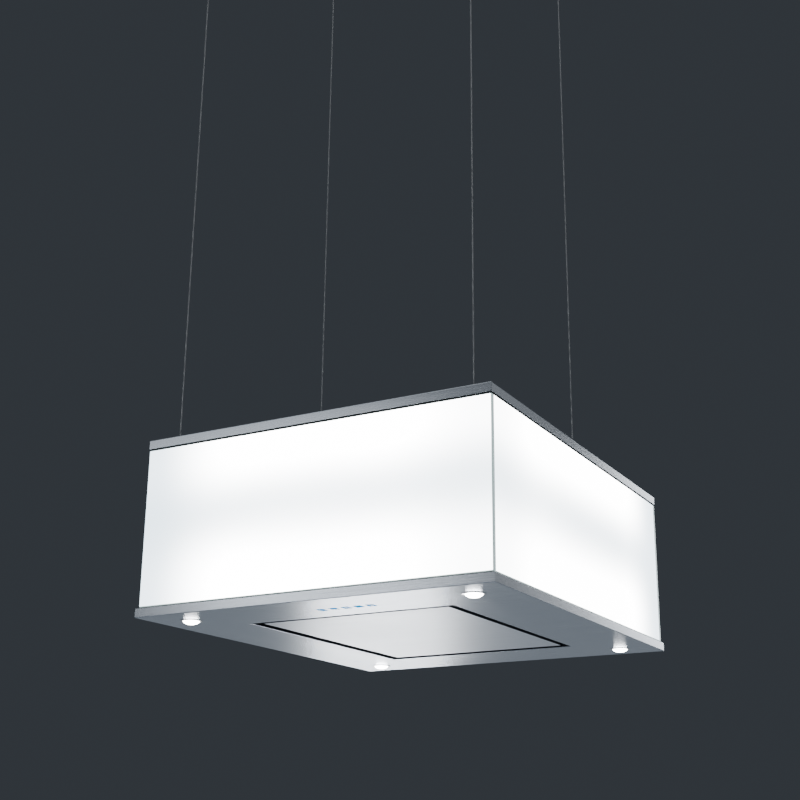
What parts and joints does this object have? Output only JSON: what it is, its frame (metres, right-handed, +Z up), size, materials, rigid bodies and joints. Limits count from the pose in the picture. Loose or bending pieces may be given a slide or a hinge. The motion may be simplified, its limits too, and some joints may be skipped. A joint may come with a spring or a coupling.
{
  "type": "island range hood",
  "caption": "Box-shaped island range hood hung on steel cables, with lit opal glass sides, steel rims, a hinged suction panel, corner lamps and touch keys.",
  "frame": {"origin": "on the ceiling, above the middle of the hood", "axes": "+Z up, +X along the control side to the right as seen from the user, controls facing -Y"},
  "size_m": [0.6, 0.7, 1.416],
  "materials": {
    "brushed_steel": "fine straight grain, satin",
    "opal_glass": "satin opal, lit from behind",
    "black_rubber": "matt",
    "white_sheet": "matt white powder coat",
    "led_tape": "lit",
    "galvanised_steel": "zinc plated",
    "chrome": "polished nickel",
    "black_plastic": "fine texture",
    "filter_aluminium": "satin",
    "motor_housing": "black enamel",
    "charcoal": "coarse activated charcoal fleece",
    "white_plastic": "moulded",
    "circuit_board": "solder resist",
    "key_light": "lit symbols",
    "lamp_aluminium": "turned",
    "lamp_glass": "frosted, lit",
    "plunger_steel": "turned",
    "steel_cable": "stranded wire rope"
  },
  "bodies": {
    "root": {"bottom_tray": "brushed_steel", "top_tray": "brushed_steel", "seal_bottom": "black_rubber", "seal_top": "black_rubber", "glass_front": "opal_glass", "glass_rear": "opal_glass", "glass_left": "opal_glass", "glass_right": "opal_glass", "reflector_front": "white_sheet", "reflector_rear": "white_sheet", "reflector_left": "white_sheet", "reflector_right": "white_sheet", "led_strip_bottom": "led_tape", "led_strip_top": "led_tape", "filter_frame": "galvanised_steel", "filter_gasket": "black_rubber", "hinge_pin_right": "chrome", "hinge_pin_left": "chrome", "hinge_bracket_right": "galvanised_steel", "hinge_bracket_left": "galvanised_steel", "catch_magnet": "black_plastic", "blower_deck": "galvanised_steel", "motor_bridge": "galvanised_steel", "blower_motor": "motor_housing", "led_driver": "white_plastic", "control_board": "circuit_board", "key_strip": "key_light", "mains_gland": "black_plastic", "spot_housing_1": "lamp_aluminium", "spot_lens_1": "lamp_glass", "gripper_1": "chrome", "cable_1": "steel_cable", "ceiling_fitting_1": "chrome", "spot_housing_2": "lamp_aluminium", "spot_lens_2": "lamp_glass", "gripper_2": "chrome", "cable_2": "steel_cable", "ceiling_fitting_2": "chrome", "spot_housing_3": "lamp_aluminium", "spot_lens_3": "lamp_glass", "gripper_3": "chrome", "cable_3": "steel_cable", "ceiling_fitting_3": "chrome", "spot_housing_4": "lamp_aluminium", "spot_lens_4": "lamp_glass", "gripper_4": "chrome", "cable_4": "steel_cable", "ceiling_fitting_4": "chrome"},
    "suction_panel": {"suction_panel": "brushed_steel"},
    "grease_filter_right": {"grease_filter_right": "filter_aluminium"},
    "grease_filter_left": {"grease_filter_left": "filter_aluminium"},
    "filter_handle_right": {"filter_handle_right": "chrome"},
    "filter_handle_left": {"filter_handle_left": "chrome"},
    "impeller": {"impeller": "black_plastic"},
    "filter_cartridge": {"outlet_grille": "brushed_steel", "charcoal_filter": "charcoal"},
    "gripper_plunger_1": {"gripper_plunger_1": "plunger_steel"},
    "gripper_plunger_2": {"gripper_plunger_2": "plunger_steel"},
    "gripper_plunger_3": {"gripper_plunger_3": "plunger_steel"},
    "gripper_plunger_4": {"gripper_plunger_4": "plunger_steel"}
  },
  "joints": [
    {"name": "panel_hinge", "type": "hinge", "parent": "root", "child": "suction_panel", "pos_m": [0, 0.205, -1.396], "axis": [1, 0, 0], "range_deg": [0, 90]},
    {"name": "filter_drop_right", "type": "slide", "parent": "root", "child": "grease_filter_right", "axis": [0, 0, -1], "range_m": [0, 0.01]},
    {"name": "handle_fold_right", "type": "hinge", "parent": "grease_filter_right", "child": "filter_handle_right", "pos_m": [0.086, -0.19, -1.379], "axis": [-1, 0, 0], "range_deg": [0, 90]},
    {"name": "filter_drop_left", "type": "slide", "parent": "root", "child": "grease_filter_left", "axis": [0, 0, -1], "range_m": [0, 0.01]},
    {"name": "handle_fold_left", "type": "hinge", "parent": "grease_filter_left", "child": "filter_handle_left", "pos_m": [-0.086, -0.19, -1.379], "axis": [-1, 0, 0], "range_deg": [0, 90]},
    {"name": "impeller_spin", "type": "hinge", "parent": "root", "child": "impeller", "pos_m": [0, 0, -1.29], "axis": [0, 0, 1], "continuous": true},
    {"name": "cartridge_lift", "type": "slide", "parent": "root", "child": "filter_cartridge", "axis": [0, 0, 1], "range_m": [0, 0.12]},
    {"name": "plunger_press_1", "type": "slide", "parent": "root", "child": "gripper_plunger_1", "axis": [0, 0, -1], "range_m": [0, 0.003], "stiffness_N_per_m": 800, "springref_m": -0.001},
    {"name": "plunger_press_2", "type": "slide", "parent": "root", "child": "gripper_plunger_2", "axis": [0, 0, -1], "range_m": [0, 0.003], "stiffness_N_per_m": 800, "springref_m": -0.001},
    {"name": "plunger_press_3", "type": "slide", "parent": "root", "child": "gripper_plunger_3", "axis": [0, 0, -1], "range_m": [0, 0.003], "stiffness_N_per_m": 800, "springref_m": -0.001},
    {"name": "plunger_press_4", "type": "slide", "parent": "root", "child": "gripper_plunger_4", "axis": [0, 0, -1], "range_m": [0, 0.003], "stiffness_N_per_m": 800, "springref_m": -0.001}
  ]
}
